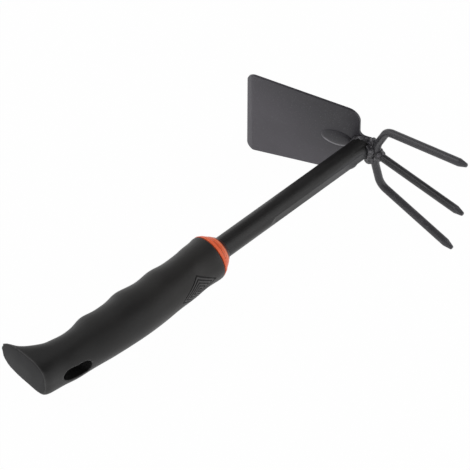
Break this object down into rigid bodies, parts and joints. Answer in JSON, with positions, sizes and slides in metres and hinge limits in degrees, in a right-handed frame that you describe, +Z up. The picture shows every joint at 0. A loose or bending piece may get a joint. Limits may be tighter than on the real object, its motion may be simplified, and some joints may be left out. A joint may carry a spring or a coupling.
{
  "type": "double hoe",
  "caption": "One-hand garden hoe with a flat blade on one side of its head, tines on the other, a steel tube and a soft finger-groove handle with a hooked butt and a hanging slot.",
  "frame": {"origin": "middle of the bounding box's base, the tool lying at rest on a flat floor", "axes": "+X along the tool from the butt to the head, +Y towards the blade side, +Z up from the floor"},
  "size_m": [0.3232, 0.1762, 0.0921],
  "materials": {
    "blade_steel": "satin dark blue-grey coat",
    "tube_paint": "satin black paint",
    "tine_steel": "satin dark grey coat",
    "weld_steel": "satin dark grey coat over a rippled bead",
    "soft_grip": "matte black soft-touch",
    "orange_plastic": "satin orange-red",
    "cap_plastic": "fine matte dark grey",
    "plug_plastic": "plain dark plastic"
  },
  "bodies": {
    "root": {"blade": "blade_steel", "outer_tines": "tine_steel", "middle_tine": "tine_steel", "shaft_tube": "tube_paint", "weld_tube": "weld_steel", "weld_yoke": "weld_steel", "weld_middle_tine": "weld_steel", "grip_cover": "soft_grip", "grip_core": "orange_plastic", "butt_cap": "cap_plastic", "tube_plug": "plug_plastic"}
  },
  "joints": []
}
